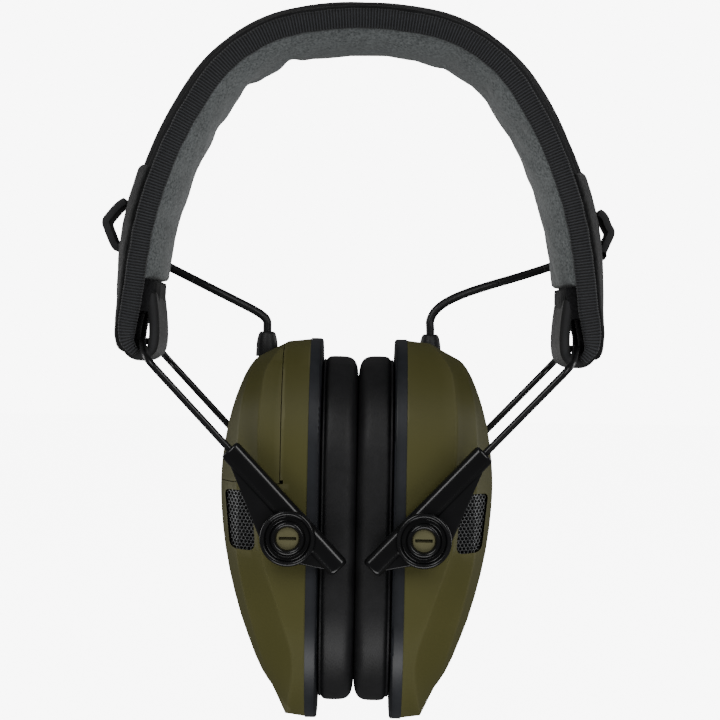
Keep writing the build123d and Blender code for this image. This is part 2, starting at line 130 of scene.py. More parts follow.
# ---- materials --------------------------------------------------------------------------------
class Surface:
    """A procedural material on one Principled shader, with small helpers to add nodes."""

    def __init__(self, name, color, roughness):
        self.slot = name
        self.material = bpy.data.materials.new(name)
        self.material.use_nodes = True
        self.tree = self.material.node_tree
        self.shader = self.tree.nodes["Principled BSDF"]
        self.shader.inputs["Base Color"].default_value = (*color, 1)
        self.shader.inputs["Roughness"].default_value = roughness
        self.material.diffuse_color = (*color, 1)
        self.height = None
        self.coords = None

    def node(self, kind, **settings):
        made = self.tree.nodes.new(kind)
        for key, value in settings.items():
            setattr(made, key, value)
        return made

    def link(self, source, target):
        self.tree.links.new(source, target)

    def place(self, kind="Object", scale=(1, 1, 1)):
        """Texture coordinates, stretched per axis."""
        if self.coords is None:
            self.coords = self.node("ShaderNodeTexCoord")
        mapping = self.node("ShaderNodeMapping")
        mapping.inputs["Scale"].default_value = scale
        self.link(self.coords.outputs[kind], mapping.inputs["Vector"])
        return mapping.outputs["Vector"]

    def noise(self, scale, detail=3, rough=0.5, vector=None, distortion=0.0):
        made = self.node("ShaderNodeTexNoise")
        made.inputs["Scale"].default_value = scale
        made.inputs["Detail"].default_value = detail
        made.inputs["Roughness"].default_value = rough
        made.inputs["Distortion"].default_value = distortion
        self.link(vector or self.place(), made.inputs["Vector"])
        return made.outputs["Fac"]

    def ramp(self, value, stops):
        made = self.node("ShaderNodeValToRGB")
        while len(made.color_ramp.elements) < len(stops):
            made.color_ramp.elements.new(0.5)
        for element, (position, color) in zip(made.color_ramp.elements, stops):
            element.position = position
            element.color = (*color, 1) if hasattr(color, "__len__") else (color, color, color, 1)
        self.link(value, made.inputs["Fac"])
        return made.outputs["Color"]

    def math(self, operation, a, b=0.0, clamp=False):
        made = self.node("ShaderNodeMath", operation=operation, use_clamp=clamp)
        for socket, value in zip(made.inputs, (a, b)):
            if isinstance(value, (int, float)):
                socket.default_value = value
            else:
                self.link(value, socket)
        return made.outputs["Value"]

    def mix(self, factor, a, b):
        made = self.node("ShaderNodeMix", data_type="RGBA")
        self.link(factor, made.inputs["Factor"])
        for socket, value in ((made.inputs["A"], a), (made.inputs["B"], b)):
            if hasattr(value, "__len__"):
                socket.default_value = (*value, 1)
            else:
                self.link(value, socket)
        return made.outputs["Result"]

    def color(self, output):
        self.link(output, self.shader.inputs["Base Color"])
        return self

    def roughness(self, value, low, high):
        spread = self.node("ShaderNodeMapRange")
        spread.inputs["To Min"].default_value = low
        spread.inputs["To Max"].default_value = high
        self.link(value, spread.inputs["Value"])
        self.link(spread.outputs["Result"], self.shader.inputs["Roughness"])
        return self

    def bump(self, value, strength, distance):
        """Adds a height on top of the bumps already made."""
        made = self.node("ShaderNodeBump")
        made.inputs["Strength"].default_value = strength
        made.inputs["Distance"].default_value = distance
        self.link(value, made.inputs["Height"])
        if self.height:
            self.link(self.height, made.inputs["Normal"])
        self.height = made.outputs["Normal"]
        self.link(self.height, self.shader.inputs["Normal"])
        return self


def cloth(name, dark, light, weave, pile=0.00008, sheen=0.25):
    """Woven or knitted cloth: fine threads that vary in tone, a soft mottle and a little sheen."""
    made = Surface(name, dark, 0.9)
    made.shader.inputs["Sheen Weight"].default_value = sheen
    made.shader.inputs["Sheen Roughness"].default_value = 0.5
    made.shader.inputs["Specular IOR Level"].default_value = 0.25
    threads = made.noise(weave, detail=4, rough=0.65)
    mottle = made.noise(weave / 14, detail=3)
    tone = made.math("ADD", made.math("MULTIPLY", threads, 0.88), made.math("MULTIPLY", mottle, 0.12))
    made.color(made.ramp(tone, ((0.36, dark), (0.64, light))))
    made.bump(made.noise(weave * 1.3, detail=3, rough=0.7), 0.8, pile)
    made.bump(made.noise(260, detail=3), 0.35, 0.0005)
    return made


def webbing(name, dark, light, rib):
    """Tightly woven tape: threads along and across it, from its own UVs in metres, and painted shade that
    darkens the valleys between its ribs.
    """
    made = Surface(name, dark, 0.62)
    made.shader.inputs["Sheen Weight"].default_value = 0.2
    made.shader.inputs["Specular IOR Level"].default_value = 0.4
    along = made.node("ShaderNodeTexWave", wave_type="BANDS", bands_direction="X")
    along.inputs["Scale"].default_value = 2 * math.pi / (20 * rib)
    along.inputs["Distortion"].default_value = 0.15
    made.link(made.place("UV"), along.inputs["Vector"])
    threads = made.noise(2600, detail=3, rough=0.7)
    # Painted shade: the rib wave darkens the colour in the valleys between the ribs and lightens it on their
    # crests, in step with the bump.
    painted_rib_shade = made.math("MULTIPLY", along.outputs["Fac"], 0.7)
    tone = made.math("ADD", painted_rib_shade, made.math("MULTIPLY", threads, 0.3))
    made.color(made.ramp(tone, ((0.3, dark), (0.8, light))))
    made.bump(along.outputs["Fac"], 0.6, 0.00015)
    made.bump(threads, 0.5, 0.00006)
    return made


def moulded(name, color, worn, roughness, grain=2200, depth=0.00003, level=0.5):
    """Moulded plastic: a spark-eroded grain, faint handling marks and slightly paler rubbed edges."""
    made = Surface(name, color, roughness)
    made.shader.inputs["Specular IOR Level"].default_value = level
    marks = made.noise(90, detail=5, rough=0.7)
    pointed = made.node("ShaderNodeNewGeometry")
    rubbed = made.ramp(pointed.outputs["Pointiness"], ((0.505, 0.0), (0.56, 1.0)))
    rubbed = made.math("MULTIPLY", rubbed, made.math("ADD", marks, 0.15), clamp=True)
    tint = made.ramp(made.noise(35, detail=2), ((0.2, color), (0.8, tuple(0.96 * c for c in color))))
    made.color(made.mix(rubbed, tint, worn))
    made.roughness(marks, roughness - 0.06, roughness + 0.06)
    made.bump(made.noise(grain, detail=2, rough=0.6), 0.5, depth)
    return made


def vinyl(name, color):
    """Soft synthetic leather: fine cells and long faint creases."""
    made = Surface(name, color, 0.5)
    made.shader.inputs["Specular IOR Level"].default_value = 0.45
    cells = made.node("ShaderNodeTexVoronoi", feature="DISTANCE_TO_EDGE")
    cells.inputs["Scale"].default_value = 1500
    made.link(made.place(), cells.inputs["Vector"])
    pits = made.ramp(cells.outputs["Distance"], ((0.0, 0.0), (0.22, 1.0)))
    folds = made.noise(140, detail=4, rough=0.6, distortion=1.2)
    made.color(made.ramp(folds, ((0.3, color), (0.75, tuple(1.5 * c + 0.002 for c in color)))))
    made.roughness(made.noise(60, detail=4), 0.42, 0.6)
    made.bump(pits, 0.35, 0.00005)
    made.bump(folds, 0.25, 0.0003)
    return made


def metal(name, color, roughness, brushed=(1, 1, 1)):
    """Bare or plated metal with fine tool marks along one axis."""
    made = Surface(name, color, roughness)
    made.shader.inputs["Metallic"].default_value = 1.0
    lines = made.noise(900, detail=3, vector=made.place(scale=brushed))
    made.color(made.ramp(lines, ((0.3, tuple(0.8 * c for c in color)), (0.7, color))))
    made.roughness(lines, roughness - 0.06, roughness + 0.1)
    made.bump(lines, 0.2, 0.00002)
    return made


def foam_cells(name, color):
    """Open-cell foam."""
    made = Surface(name, color, 0.95)
    pores = made.node("ShaderNodeTexVoronoi")
    pores.inputs["Scale"].default_value = 900
    made.link(made.place(), pores.inputs["Vector"])
    made.color(made.ramp(pores.outputs["Distance"], ((0.15, 0.01), (0.6, color))))
    made.bump(pores.outputs["Distance"], 0.9, 0.0004)
    return made


def make_materials():
    olive, olive_worn = (0.108, 0.103, 0.028), (0.18, 0.17, 0.08)
    soft_black, worn_black = (0.0105, 0.0105, 0.0115), (0.03, 0.03, 0.03)
    rubber, rubber_worn = (0.006, 0.006, 0.0065), (0.02, 0.02, 0.022)
    gloss_black = (0.005, 0.005, 0.0055)
    polished = 0.000004
    made = (
        cloth("cover_fabric", (0.0025, 0.0025, 0.003), (0.0095, 0.0095, 0.011), 1500, sheen=0.08),
        cloth("pad_fabric", (0.078, 0.085, 0.086), (0.25, 0.27, 0.273), 1500, pile=0.00012),
        cloth("cuff_fabric", (0.004, 0.004, 0.0045), (0.016, 0.016, 0.018), 1400, sheen=0.1),
        cloth("hook_fabric", (0.003, 0.003, 0.003), (0.02, 0.02, 0.021), 900, pile=0.0003),
        webbing("binding_tape", (0.0015, 0.0015, 0.002), (0.036, 0.038, 0.044), 0.00086),
        webbing("strap_webbing", (0.004, 0.004, 0.0045), (0.022, 0.022, 0.024), 0.0011),
        moulded("tab_rubber", (0.008, 0.008, 0.009), (0.03, 0.03, 0.032), 0.5),
        moulded("cable_jacket", rubber, rubber_worn, 0.42),
        moulded("gland_rubber", rubber, rubber_worn, 0.5),
        moulded("wire_black", gloss_black, (0.02, 0.02, 0.021), 0.28, grain=400, depth=polished),
        moulded("arm_plastic", gloss_black, (0.012, 0.012, 0.013), 0.2, grain=900, depth=polished),
        moulded("shell_plastic", olive, olive_worn, 0.55, level=0.3),
        moulded("pin_plastic", (0.10, 0.094, 0.038), olive_worn, 0.5),
        moulded("plate_plastic", (0.0065, 0.0078, 0.0105), (0.035, 0.038, 0.045), 0.42),
        moulded("clip_plastic", soft_black, worn_black, 0.5),
        moulded("jack_plastic", soft_black, worn_black, 0.4),
        moulded("speaker_body", (0.02, 0.02, 0.021), (0.05, 0.05, 0.05), 0.5),
        moulded("circuit_board", (0.008, 0.06, 0.025), (0.3, 0.24, 0.1), 0.35),
        moulded("battery_can", (0.1, 0.1, 0.11), (0.3, 0.3, 0.3), 0.3),
        vinyl("cushion_vinyl", soft_black),
        metal("grille_metal", (0.22, 0.224, 0.228), 0.42),
        metal("microphone_metal", (0.5, 0.5, 0.5), 0.3),
        metal("screw_steel", (0.45, 0.45, 0.46), 0.3),
        metal("contact_metal", (0.6, 0.6, 0.58), 0.25),
        metal("spring_steel", (0.4, 0.41, 0.43), 0.35, brushed=(1, 0.1, 1)),
        foam_cells("foam", (0.05, 0.05, 0.055)),
    )
    return {surface.slot: surface.material for surface in made}


MATERIALS = make_materials()


# ---- mesh helpers -----------------------------------------------------------------------------
def finish_piece(name, mesh, body, slot):
    """Turns a bmesh into an object that rides on a CAD body."""
    bmesh.ops.recalc_face_normals(mesh, faces=mesh.faces)
    data = bpy.data.meshes.new(name)
    mesh.to_mesh(data)
    mesh.free()
    data.shade_smooth()
    data.materials.append(MATERIALS[slot])
    piece = bpy.data.objects.new(name, data)
    bpy.context.collection.objects.link(piece)
    if body:
        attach(piece, body)
    return piece


def add_rows(mesh, rows, closed=False, caps=True, uv=None):
    """Adds a skin through rings of points: a tube, or a ring of rings where closed.

    uv gives (u, v) for row i and column j.
    """
    layer = mesh.loops.layers.uv.verify()
    made = [[mesh.verts.new(point) for point in row] for row in rows]
    row_count, columns = len(made), len(made[0])
    for i in range(row_count if closed else row_count - 1):
        for j in range(columns):
            corners = ((i, j), (i, j + 1), (i + 1, j + 1), (i + 1, j))
            face = mesh.faces.new([made[a % row_count][b % columns] for a, b in corners])
            if uv:
                for loop, (a, b) in zip(face.loops, corners):
                    loop[layer].uv = uv(a, b)
    if caps and not closed:
        mesh.faces.new(made[0])
        mesh.faces.new(made[-1])
    return made


def grid_piece(name, rows, body, slot, closed=False, uv=None):
    mesh = bmesh.new()
    add_rows(mesh, rows, closed=closed, uv=uv)
    return finish_piece(name, mesh, body, slot)


def modifier(piece, kind, **settings):
    made = piece.modifiers.new(kind.lower(), kind)
    for key, value in settings.items():
        setattr(made, key, value)
    return made


def soften(piece, radius, segments=2, angle=30):
    """Small radii on the edges sharper than an angle in degrees."""
    sharp = math.radians(angle)
    modifier(piece, "BEVEL", width=radius, segments=segments, limit_method="ANGLE", angle_limit=sharp)


def gauss(x, width):
    return math.exp(-((x / width) ** 2))


def circle(count, start=0.0):
    """Cosine and sine at equal steps round a circle."""
    angles = [2 * math.pi * (j + start) / count for j in range(count)]
    return [(math.cos(angle), math.sin(angle)) for angle in angles]


def squared(value, power):
    """A cosine or sine raised to a power with its sign kept, which squares a circle off."""
    return math.copysign(abs(value) ** power, value)


def soft_noise(seed):
    """A smooth, repeatable wave of one variable, about -1 to 1, with wavelengths near 1."""
    rng = np.random.default_rng(seed)
    parts = [(rng.uniform(0.5, 2.2), rng.uniform(0, 2 * math.pi), rng.uniform(0.4, 1)) for _ in range(6)]
    total = sum(part[2] for part in parts)
    return lambda x: sum(a * math.sin(2 * math.pi * f * x + p) for f, p, a in parts) / total * 1.6


def smooth_curve(points):
    """A smooth function through (position, value) points, flat beyond its ends."""
    xs, ys = (np.array(column, float) for column in zip(*sorted(points)))
    slopes = np.gradient(ys, xs)

    def value(x):
        x = min(max(x, xs[0]), xs[-1])
        i = min(int(np.searchsorted(xs, x, side="right")) - 1, len(xs) - 2)
        step = xs[i + 1] - xs[i]
        t = (x - xs[i]) / step
        h00, h10 = 2 * t**3 - 3 * t**2 + 1, t**3 - 2 * t**2 + t
        h01, h11 = -2 * t**3 + 3 * t**2, t**3 - t**2
        return h00 * ys[i] + h10 * step * slopes[i] + h01 * ys[i + 1] + h11 * step * slopes[i + 1]

    return value


def nurbs_places(points, samples):
    """Places along the NURBS curve that the points control, read back from Blender's own curve."""
    curve = bpy.data.curves.new("route", "CURVE")
    curve.dimensions = "3D"
    curve.resolution_u = samples
    spline = curve.splines.new("NURBS")
    spline.points.add(len(points) - 1)
    for control, point in zip(spline.points, points):
        control.co = (*point, 1)
    spline.order_u = 3
    spline.use_endpoint_u = True
    holder = bpy.data.objects.new("route", curve)
    data = bpy.data.meshes.new_from_object(holder)
    places = [vertex.co.copy() for vertex in data.vertices]
    bpy.data.objects.remove(holder)
    bpy.data.curves.remove(curve)
    bpy.data.meshes.remove(data)
    return places


def smooth_path(points):
    """Places and outward directions along a smooth route through the XZ plane."""
    places = nurbs_places([(x, 0, z) for x, z in points], 14)
    path = []
    for i, place in enumerate(places):
        ahead = places[min(i + 1, len(places) - 1)] - places[max(i - 1, 0)]
        path.append((place, Vector((-ahead.z, 0, ahead.x)).normalized()))
    return path


# ---- headband ---------------------------------------------------------------------------------
CROWN_Z = 8 * MM
BAND_ARCS = ((95 * MM, 12), (42 * MM, 44), (120 * MM, 27))  # radius and turn, from the crown down
STRAIGHT = 12 * MM
BAND_HALF = 19.4 * MM
BINDING_HEIGHT, BINDING_WIDTH = 5.8 * MM, 3.0 * MM


def band_point(s):
    """Centre line of the band at arc length s from the crown: place and outward direction, both in XZ."""
    side, left = (1 if s >= 0 else -1), abs(s)
    x, z, heading = 0.0, CROWN_Z, 0.0
    for radius, turn in BAND_ARCS:
        angle = min(left / radius, math.radians(turn))
        x += radius * (math.sin(heading + angle) - math.sin(heading))
        z += radius * (math.cos(heading + angle) - math.cos(heading))
        heading += angle
        left -= radius * angle
        if left <= 1e-9:
            break
    x += max(left, 0) * math.cos(heading)
    z -= max(left, 0) * math.sin(heading)
    return Vector((side * x, 0, z)), Vector((side * math.sin(heading), 0, math.cos(heading)))


BAND_LENGTH = sum(radius * math.radians(turn) for radius, turn in BAND_ARCS) + STRAIGHT

# Past its end the band's edge runs on down the outside of the loop (x outward and z, in metres).
END_PATH = smooth_path(
    ((0.06692, -0.07606), (0.0677, -0.0803), (0.0684, -0.0845), (0.0680, -0.0888), (0.0652, -0.0914))
)
END_STEPS = [0.0]
for (before, _), (after, _) in zip(END_PATH, END_PATH[1:]):
    END_STEPS.append(END_STEPS[-1] + (after - before).length)
END_LENGTH = END_STEPS[-1]


def band_place(s):
    """Like band_point, but running on down the loop past the band's ends."""
    beyond = abs(s) - BAND_LENGTH
    if beyond <= 0:
        return band_point(s)
    side = 1 if s >= 0 else -1
    i = min(max(int(np.searchsorted(END_STEPS, beyond)), 1), len(END_PATH) - 1)
    share = min((beyond - END_STEPS[i - 1]) / (END_STEPS[i] - END_STEPS[i - 1]), 1.0)
    place = END_PATH[i - 1][0].lerp(END_PATH[i][0], share)
    out = END_PATH[i - 1][1].lerp(END_PATH[i][1], share).normalized()
    return Vector((side * place.x, 0, place.z)), Vector((side * out.x, 0, out.z))


# The cover's height at the middle of the band, and the size of the bindings, against the distance in
# millimetres beyond the band's end.
HEIGHTS = ((-40, 7.0), (-23, 6.8), (-12, 6.1), (-3, 5.2), (6.5, 3.7), (11, 2.7))
TAPER = ((2, 1.0), (7, 0.93), (11, 0.75), (14, 0.52), (17, 0.3))
COVER_HEIGHT = smooth_curve([(BAND_LENGTH + beyond * MM, height * MM) for beyond, height in HEIGHTS])
BINDING_TAPER = smooth_curve([(BAND_LENGTH + beyond * MM, size) for beyond, size in TAPER])


def band_rows(outline, reach, steps):
    """Rows along the band from -reach to reach: outline(s, share) gives (y, v) pairs, v outward."""
    rows = []
    for step in range(steps + 1):
        share = step / steps
        s = (2 * share - 1) * reach
        place, out = band_place(s)
        rows.append([place + out * v + Vector((0, y, 0)) for y, v in outline(s, share)])
    return rows


def end_taper(share, steps_share):
    """1 in the middle, rounding down to 0 at both ends."""
    near = min(share, 1 - share) / steps_share
    return 1.0 if near >= 1 else math.sqrt(max(0.0, 1 - (1 - near) ** 2))


UNDERSIDE = 0.6 * MM  # how far from the centre line the cover and the pad begin
ACROSS = [2 * k / 48 - 1 for k in range(49)]  # shares of the half width, along the crowned face
BACK = [1 - 2 * k / 12 for k in range(13)]  # and back along the flat one


def make_cover():
    """A crowned fabric skin with a piped seam beside each binding."""
    ripple = soft_noise(3)

    def outline(s, share):
        fade = 0.35 + 0.65 * end_taper(share, 0.03)
        points = []
        for across in ACROSS:
            y = across * BAND_HALF
            crown = 2.9 * MM + (COVER_HEIGHT(abs(s)) - 2.9 * MM) * (1 - abs(across) ** 2.6)
            piping = 0.55 * MM * gauss(abs(y) - 17.2 * MM, 0.5 * MM)
            stitches = 0.5 * MM * gauss(abs(y) - 16.1 * MM, 0.45 * MM)
            wave = 0.28 * MM * ripple(s / (26 * MM) + 2.2 * across) * (1 - across**4)
            points.append((y, UNDERSIDE + (crown + piping - stitches + wave - UNDERSIDE) * fade))
        return points + [(across * BAND_HALF, UNDERSIDE) for across in BACK]

    rows = band_rows(outline, BAND_LENGTH, 260)
    cover = grid_piece("band_cover_fabric", rows, "headband", "cover_fabric")
    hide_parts("band_cover")


def make_pad():
    """A soft pad, puckered where it follows the band's bends."""
    puff = soft_noise(11)
    pinches = (-0.094, -0.079, -0.061, -0.043, -0.025, 0.029, 0.044, 0.062, 0.081)

    def outline(s, share):
        fade = 0.6 + 0.4 * end_taper(share, 0.008)
        pinch = max(gauss(s - at, 3.2 * MM) for at in pinches)
        points = []
        for across in reversed(ACROSS):
            crown = 2.9 * MM + 5.1 * MM * (1 - abs(across) ** 3.2)
            dent = 1.5 * MM * pinch * (0.55 + 0.45 * math.cos(3.1 * across + 40 * s)) * (1 - across**6)
            wave = 0.4 * MM * puff(s / (17 * MM) + 1.3 * across) * (1 - across**4)
            points.append((across * BAND_HALF, -UNDERSIDE - (crown - dent + wave - UNDERSIDE) * fade))
        return points + [(across * BAND_HALF, -UNDERSIDE) for across in reversed(BACK)]

    rows = band_rows(outline, BAND_LENGTH - 7 * MM, 300)
    pad = grid_piece("band_pad_fabric", rows, "headband", "pad_fabric")
    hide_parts("band_pad")


def make_bindings():
    """Ribbed tape folded over each edge of the band, with six rows of points to a rib."""
    rib = 0.86 * MM
    reach = BAND_LENGTH + END_LENGTH - 0.2 * MM
    steps = int(2 * reach / rib) * 6
    round_tape = circle(24)
    for name, y_side in (("front", -1), ("rear", 1)):
        sway = soft_noise(20 + y_side)
        middle = y_side * (BAND_HALF + 0.1 * MM + BINDING_WIDTH / 2)

        def outline(s, share, middle=middle, sway=sway):
            taper = BINDING_TAPER(abs(s))
            raised = 0.26 * MM * math.sqrt(abs(math.sin(math.pi * s / rib)))
            shift = 0.12 * MM * sway(s / (14 * MM))
            half_y = (BINDING_WIDTH / 2 - 0.16 * MM) * (0.4 + 0.6 * taper) + raised
            half_v = (BINDING_HEIGHT / 2 - 0.16 * MM) * taper + raised
            points = [(squared(c, 0.7) * half_y, squared(sn, 0.6) * half_v) for c, sn in round_tape]
            return [(middle + y, v + shift) for y, v in points]

        binding = grid_piece(
            f"band_binding_{name}_tape",
            band_rows(outline, reach, steps),
            "headband",
            "binding_tape",
            uv=lambda i, j: (i * 2 * reach / steps - reach, j * 17 * MM / len(round_tape)),
        )
        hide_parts(f"band_binding_{name}")


# ---- the band's ends: cuff, webbing loop, closure flap and pull tab -----------------------------
def slab_rows(path, half_width, thickness, columns, bulge=0.0):
    """Rows of points round a strap that follows path, a list of (place, outward direction)."""
    shares = [2 * k / (columns - 1) - 1 for k in range(columns)]
    rows = []
    for place, out in path:
        top = [(share * half_width, thickness / 2 + bulge * (1 - share**2)) for share in shares]
        under = [(share * half_width, -thickness / 2) for share in reversed(shares)]
        rows.append([place + out * v + Vector((0, y, 0)) for y, v in top + under])
    return rows


LOOP_ROUTE = (  # x outward and z, in millimetres
    *((61.4, -73.5), (60.9, -77.0), (60.4, -82.0), (60.3, -87.0), (61.0, -90.6)),
    *((64.6, -92.3), (68.0, -90.6), (69.0, -86.5), (68.3, -81.5), (67.3, -77.5)),
)


def make_cuff(side, k):
    """Gathered fabric that closes the pad's end."""
    end_place, end_out = band_point(k * BAND_LENGTH)
    along = Vector((end_out.z * k, 0, -end_out.x * k))
    length = 9.4 * MM
    gather = soft_noise(40 + k)
    round_cuff = circle(96)
    rows = []
    for i in range(13):
        share = i / 12
        place = end_place - along * (7.0 * MM - length * share)
        swell = 0.35 * MM * math.sin(math.pi * share)
        thickness = 3.3 * MM + swell + 0.3 * MM * share**3
        row = []
        for j, (c, sn) in enumerate(round_cuff):
            y = squared(c, 0.35) * (18.7 * MM + swell)
            fold = 0.22 * MM * gather(j / 7 + 0.6 * share) * math.sin(math.pi * (0.15 + 0.7 * share))
            v = -3.6 * MM + squared(sn, 0.55) * thickness + fold
            row.append(place + end_out * v + Vector((0, y, 0)))
        rows.append(row)
    cuff = grid_piece(f"pad_cuff_fabric_{side}", rows, "headband", "cuff_fabric")
    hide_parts(f"pad_cuff_{side}")


def make_loop(side, k):
    """A strap of webbing that comes out of the cuff, turns under the yoke's bar and goes back up."""
    path = smooth_path([(k * x * MM, z * MM) for x, z in LOOP_ROUTE])
    loop = grid_piece(
        f"end_loop_strap_{side}",
        slab_rows(path, 18.9 * MM, 3.1 * MM, 33, bulge=0.12 * MM),
        "headband",
        "strap_webbing",
        uv=lambda i, j: (j * 1.15 * MM, i * 0.6 * MM),
    )
    soften(loop, 0.5 * MM)
    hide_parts(f"end_loop_{side}")


def make_flap(side, k):
    """Brushed closure fabric on the outside of the band's end and the loop."""
    fuzz = soft_noise(60 + k)
    half = 18.4 * MM
    rows = []
    for i in range(61):
        share = i / 60
        s = k * (BAND_LENGTH + END_LENGTH - 3.0 * MM - 53 * MM * (1 - share))
        place, out = band_place(s)
        edge = end_taper(share, 0.04)
        row = []
        for j in range(41):
            y = -half + 2 * half * j / 40
            rim = end_taper(j / 40, 0.05)
            base = 2.7 * MM + (COVER_HEIGHT(abs(s)) - 2.7 * MM) * (1 - abs(y / BAND_HALF) ** 2.4)
            nap = 0.12 * MM * fuzz(s / (6 * MM) + y / (5 * MM))
            v = base + (0.35 + 0.75 * min(edge, rim)) * MM + nap
            row.append(place + out * v + Vector((0, y, 0)))
        row += [place + out * (1.2 * MM) + Vector((0, y, 0)) for y in (17.6 * MM, 0, -17.6 * MM)]
        rows.append(row)
    flap = grid_piece(f"closure_flap_fabric_{side}", rows, "headband", "hook_fabric")
    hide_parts(f"closure_flap_{side}")


def make_tab(side, k):
    """A strap folded back on itself, standing off the flap."""
    low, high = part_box(f"pull_tab_{side}")
    root, tip = (low.x, high.x) if k > 0 else (high.x, low.x)
    middle = (low.z + high.z) / 2
    route = [
        (root + k * 0.6 * MM, high.z - 0.2 * MM),
        (root + k * 2.2 * MM, high.z - 0.9 * MM),
        (tip - k * 1.9 * MM, middle + 2.9 * MM),
        (tip - k * 0.7 * MM, middle + 1.2 * MM),
        (tip - k * 1.5 * MM, middle - 1.0 * MM),
        (tip - k * 3.6 * MM, low.z + 1.6 * MM),
        (root + k * 2.4 * MM, low.z + 0.6 * MM),
        (root + k * 1.4 * MM, low.z + 1.6 * MM),
    ]
    strap = slab_rows(smooth_path(route), 7.8 * MM, 2.1 * MM, 17)
    tab = grid_piece(f"pull_tab_strap_{side}", strap, "headband", "tab_rubber")
    soften(tab, 0.3 * MM)
    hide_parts(f"pull_tab_{side}")


# ---- cups: cushions and faceted shells ----------------------------------------------------------
CUP_Z = -142.2 * MM
PLATE_BACK = 14.2 * MM
WALL = 2.0 * MM


def rounded_outline(width, height, corner, middle_z):
    """Points (y, z) round a rounded rectangle, anticlockwise from the +y side's top end."""
    corners = []
    for y_side, z_side, start in ((1, 1, 0), (-1, 1, 90), (-1, -1, 180), (1, -1, 270)):
        y = y_side * (width / 2 - corner)
        z = middle_z + z_side * (height / 2 - corner)
        angles = [math.radians(start + 90 * step / 18) for step in range(19)]
        corners.append([(y + corner * math.cos(a), z + corner * math.sin(a)) for a in angles])
    points = []
    for index, arc in enumerate(corners):
        points += arc
        count = 5 if index % 2 == 0 else 16
        (y, z), (next_y, next_z) = arc[-1], corners[(index + 1) % 4][0]
        for step in range(1, count):
            share = step / count
            points.append((y + (next_y - y) * share, z + (next_z - z) * share))
    return points


def make_cushions():
    outer = rounded_outline(71.6 * MM, 102.6 * MM, 31 * MM, CUP_Z)
    inner = rounded_outline(42 * MM, 64 * MM, 20 * MM, CUP_Z)
    section = circle(44)
    for side, k in SIDES.items():
        low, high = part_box(f"ear_cushion_{side}")
        face = -k * 0.06 * MM
        back = high.x if k > 0 else low.x
        sag = soft_noise(80 + k)
        rows = []
        for index, (o, i) in enumerate(zip(outer, inner)):
            row = []
            for c, sn in section:
                depth = 0.42 + (0.58 * sn**0.52 if sn > 0 else -0.42 * abs(sn) ** 0.3)
                seam = 0.05 * gauss(depth - 0.1, 0.035) * (1 if c > 0 else -1) * (abs(c) > 0.35)
                wave = 0.012 * sag(index / 19) * math.sin(math.pi * depth)
                across = 0.5 + 0.5 * squared(c, 0.52 if sn > 0 else 0.3) - seam + wave
                y = i[0] + (o[0] - i[0]) * across
                z = i[1] + (o[1] - i[1]) * across
                row.append(Vector((back + (face - back) * depth, y, z)))
            rows.append(row)
        cushion = grid_piece(f"ear_cushion_skin_{side}", rows, f"cup_{side}", "cushion_vinyl", closed=True)
        modifier(cushion, "SUBSURF", levels=1, render_levels=1)
        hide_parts(f"ear_cushion_{side}")


# The cup's faceted outside on the +X side, in millimetres: outlines as width, height, corner radius and the
# middle's height, and the depth of each crease and of the middle line against height.
BASE = (77.6, 112.4, 32.4, -142.2)
CREASE_A = (74.6, 110.8, 31.0, -142.2)
CREASE_B = (61.0, 98.0, 26.0, -140.5)
DEPTH_A = smooth_curve(
    (
        *((-197, 5.8), (-190, 4.4), (-179, 3.6), (-165, 7.4), (-148, 12.9)),
        *((-132, 13.6), (-101, 13.6), (-95, 12.6), (-90, 9.6), (-87, 6.8)),
    )
)
DEPTH_B = smooth_curve(
    (
        *((-190, 9.6), (-184, 11.2), (-175, 13.8), (-160, 18.0), (-148, 20.4), (-132, 20.8)),
        *((-115, 20.6), (-104, 19.6), (-98, 18.2), (-94, 17.2), (-91, 15.4)),
    )
)
DEPTH_MIDDLE = smooth_curve(
    (
        *((-190, 9.8), (-184, 13.6), (-176, 16.9), (-169, 19.5), (-162, 21.6), (-151, 24.2), (-140, 25.8)),
        *((-127, 26.4), (-119, 25.7), (-109, 23.9), (-102, 21.8), (-94, 18.1), (-91, 15.8)),
    )
)
DOME_POWER = 2.6


def half_width(outline, z):
    """Half width of an outline at height z."""
    width, height, corner, middle_z = outline
    beyond = abs(z - middle_z) - (height / 2 - corner)
    if beyond <= 0:
        return width / 2
    return width / 2 - corner + math.sqrt(max(corner**2 - beyond**2, 0.0))


def dome(y, z):
    """Depth of the outer face inside crease b."""
    edge, middle = DEPTH_B(z), DEPTH_MIDDLE(z)
    reach = min(abs(y) / max(half_width(CREASE_B, z), 0.5), 1.0)
    return middle - (middle - edge) * reach**DOME_POWER


def front_y(depth, z):
    """Distance from the middle of the front surface at a depth and height."""
    a, b = DEPTH_A(z), DEPTH_B(z)
    wide, narrow = half_width(CREASE_A, z), half_width(CREASE_B, z)
    if depth <= b:
        share = max(depth - a, 0) / (b - a)
        return wide + (narrow - wide) * share
    middle = DEPTH_MIDDLE(z)
    share = min(max((middle - depth) / (middle - b), 0.0), 1.0)
    return narrow * share ** (1 / DOME_POWER)


def between(low, high, share):
    """A ring of points part of the way from one ring to another."""
    return [tuple(p + (q - p) * share for p, q in zip(*pair)) for pair in zip(low, high)]


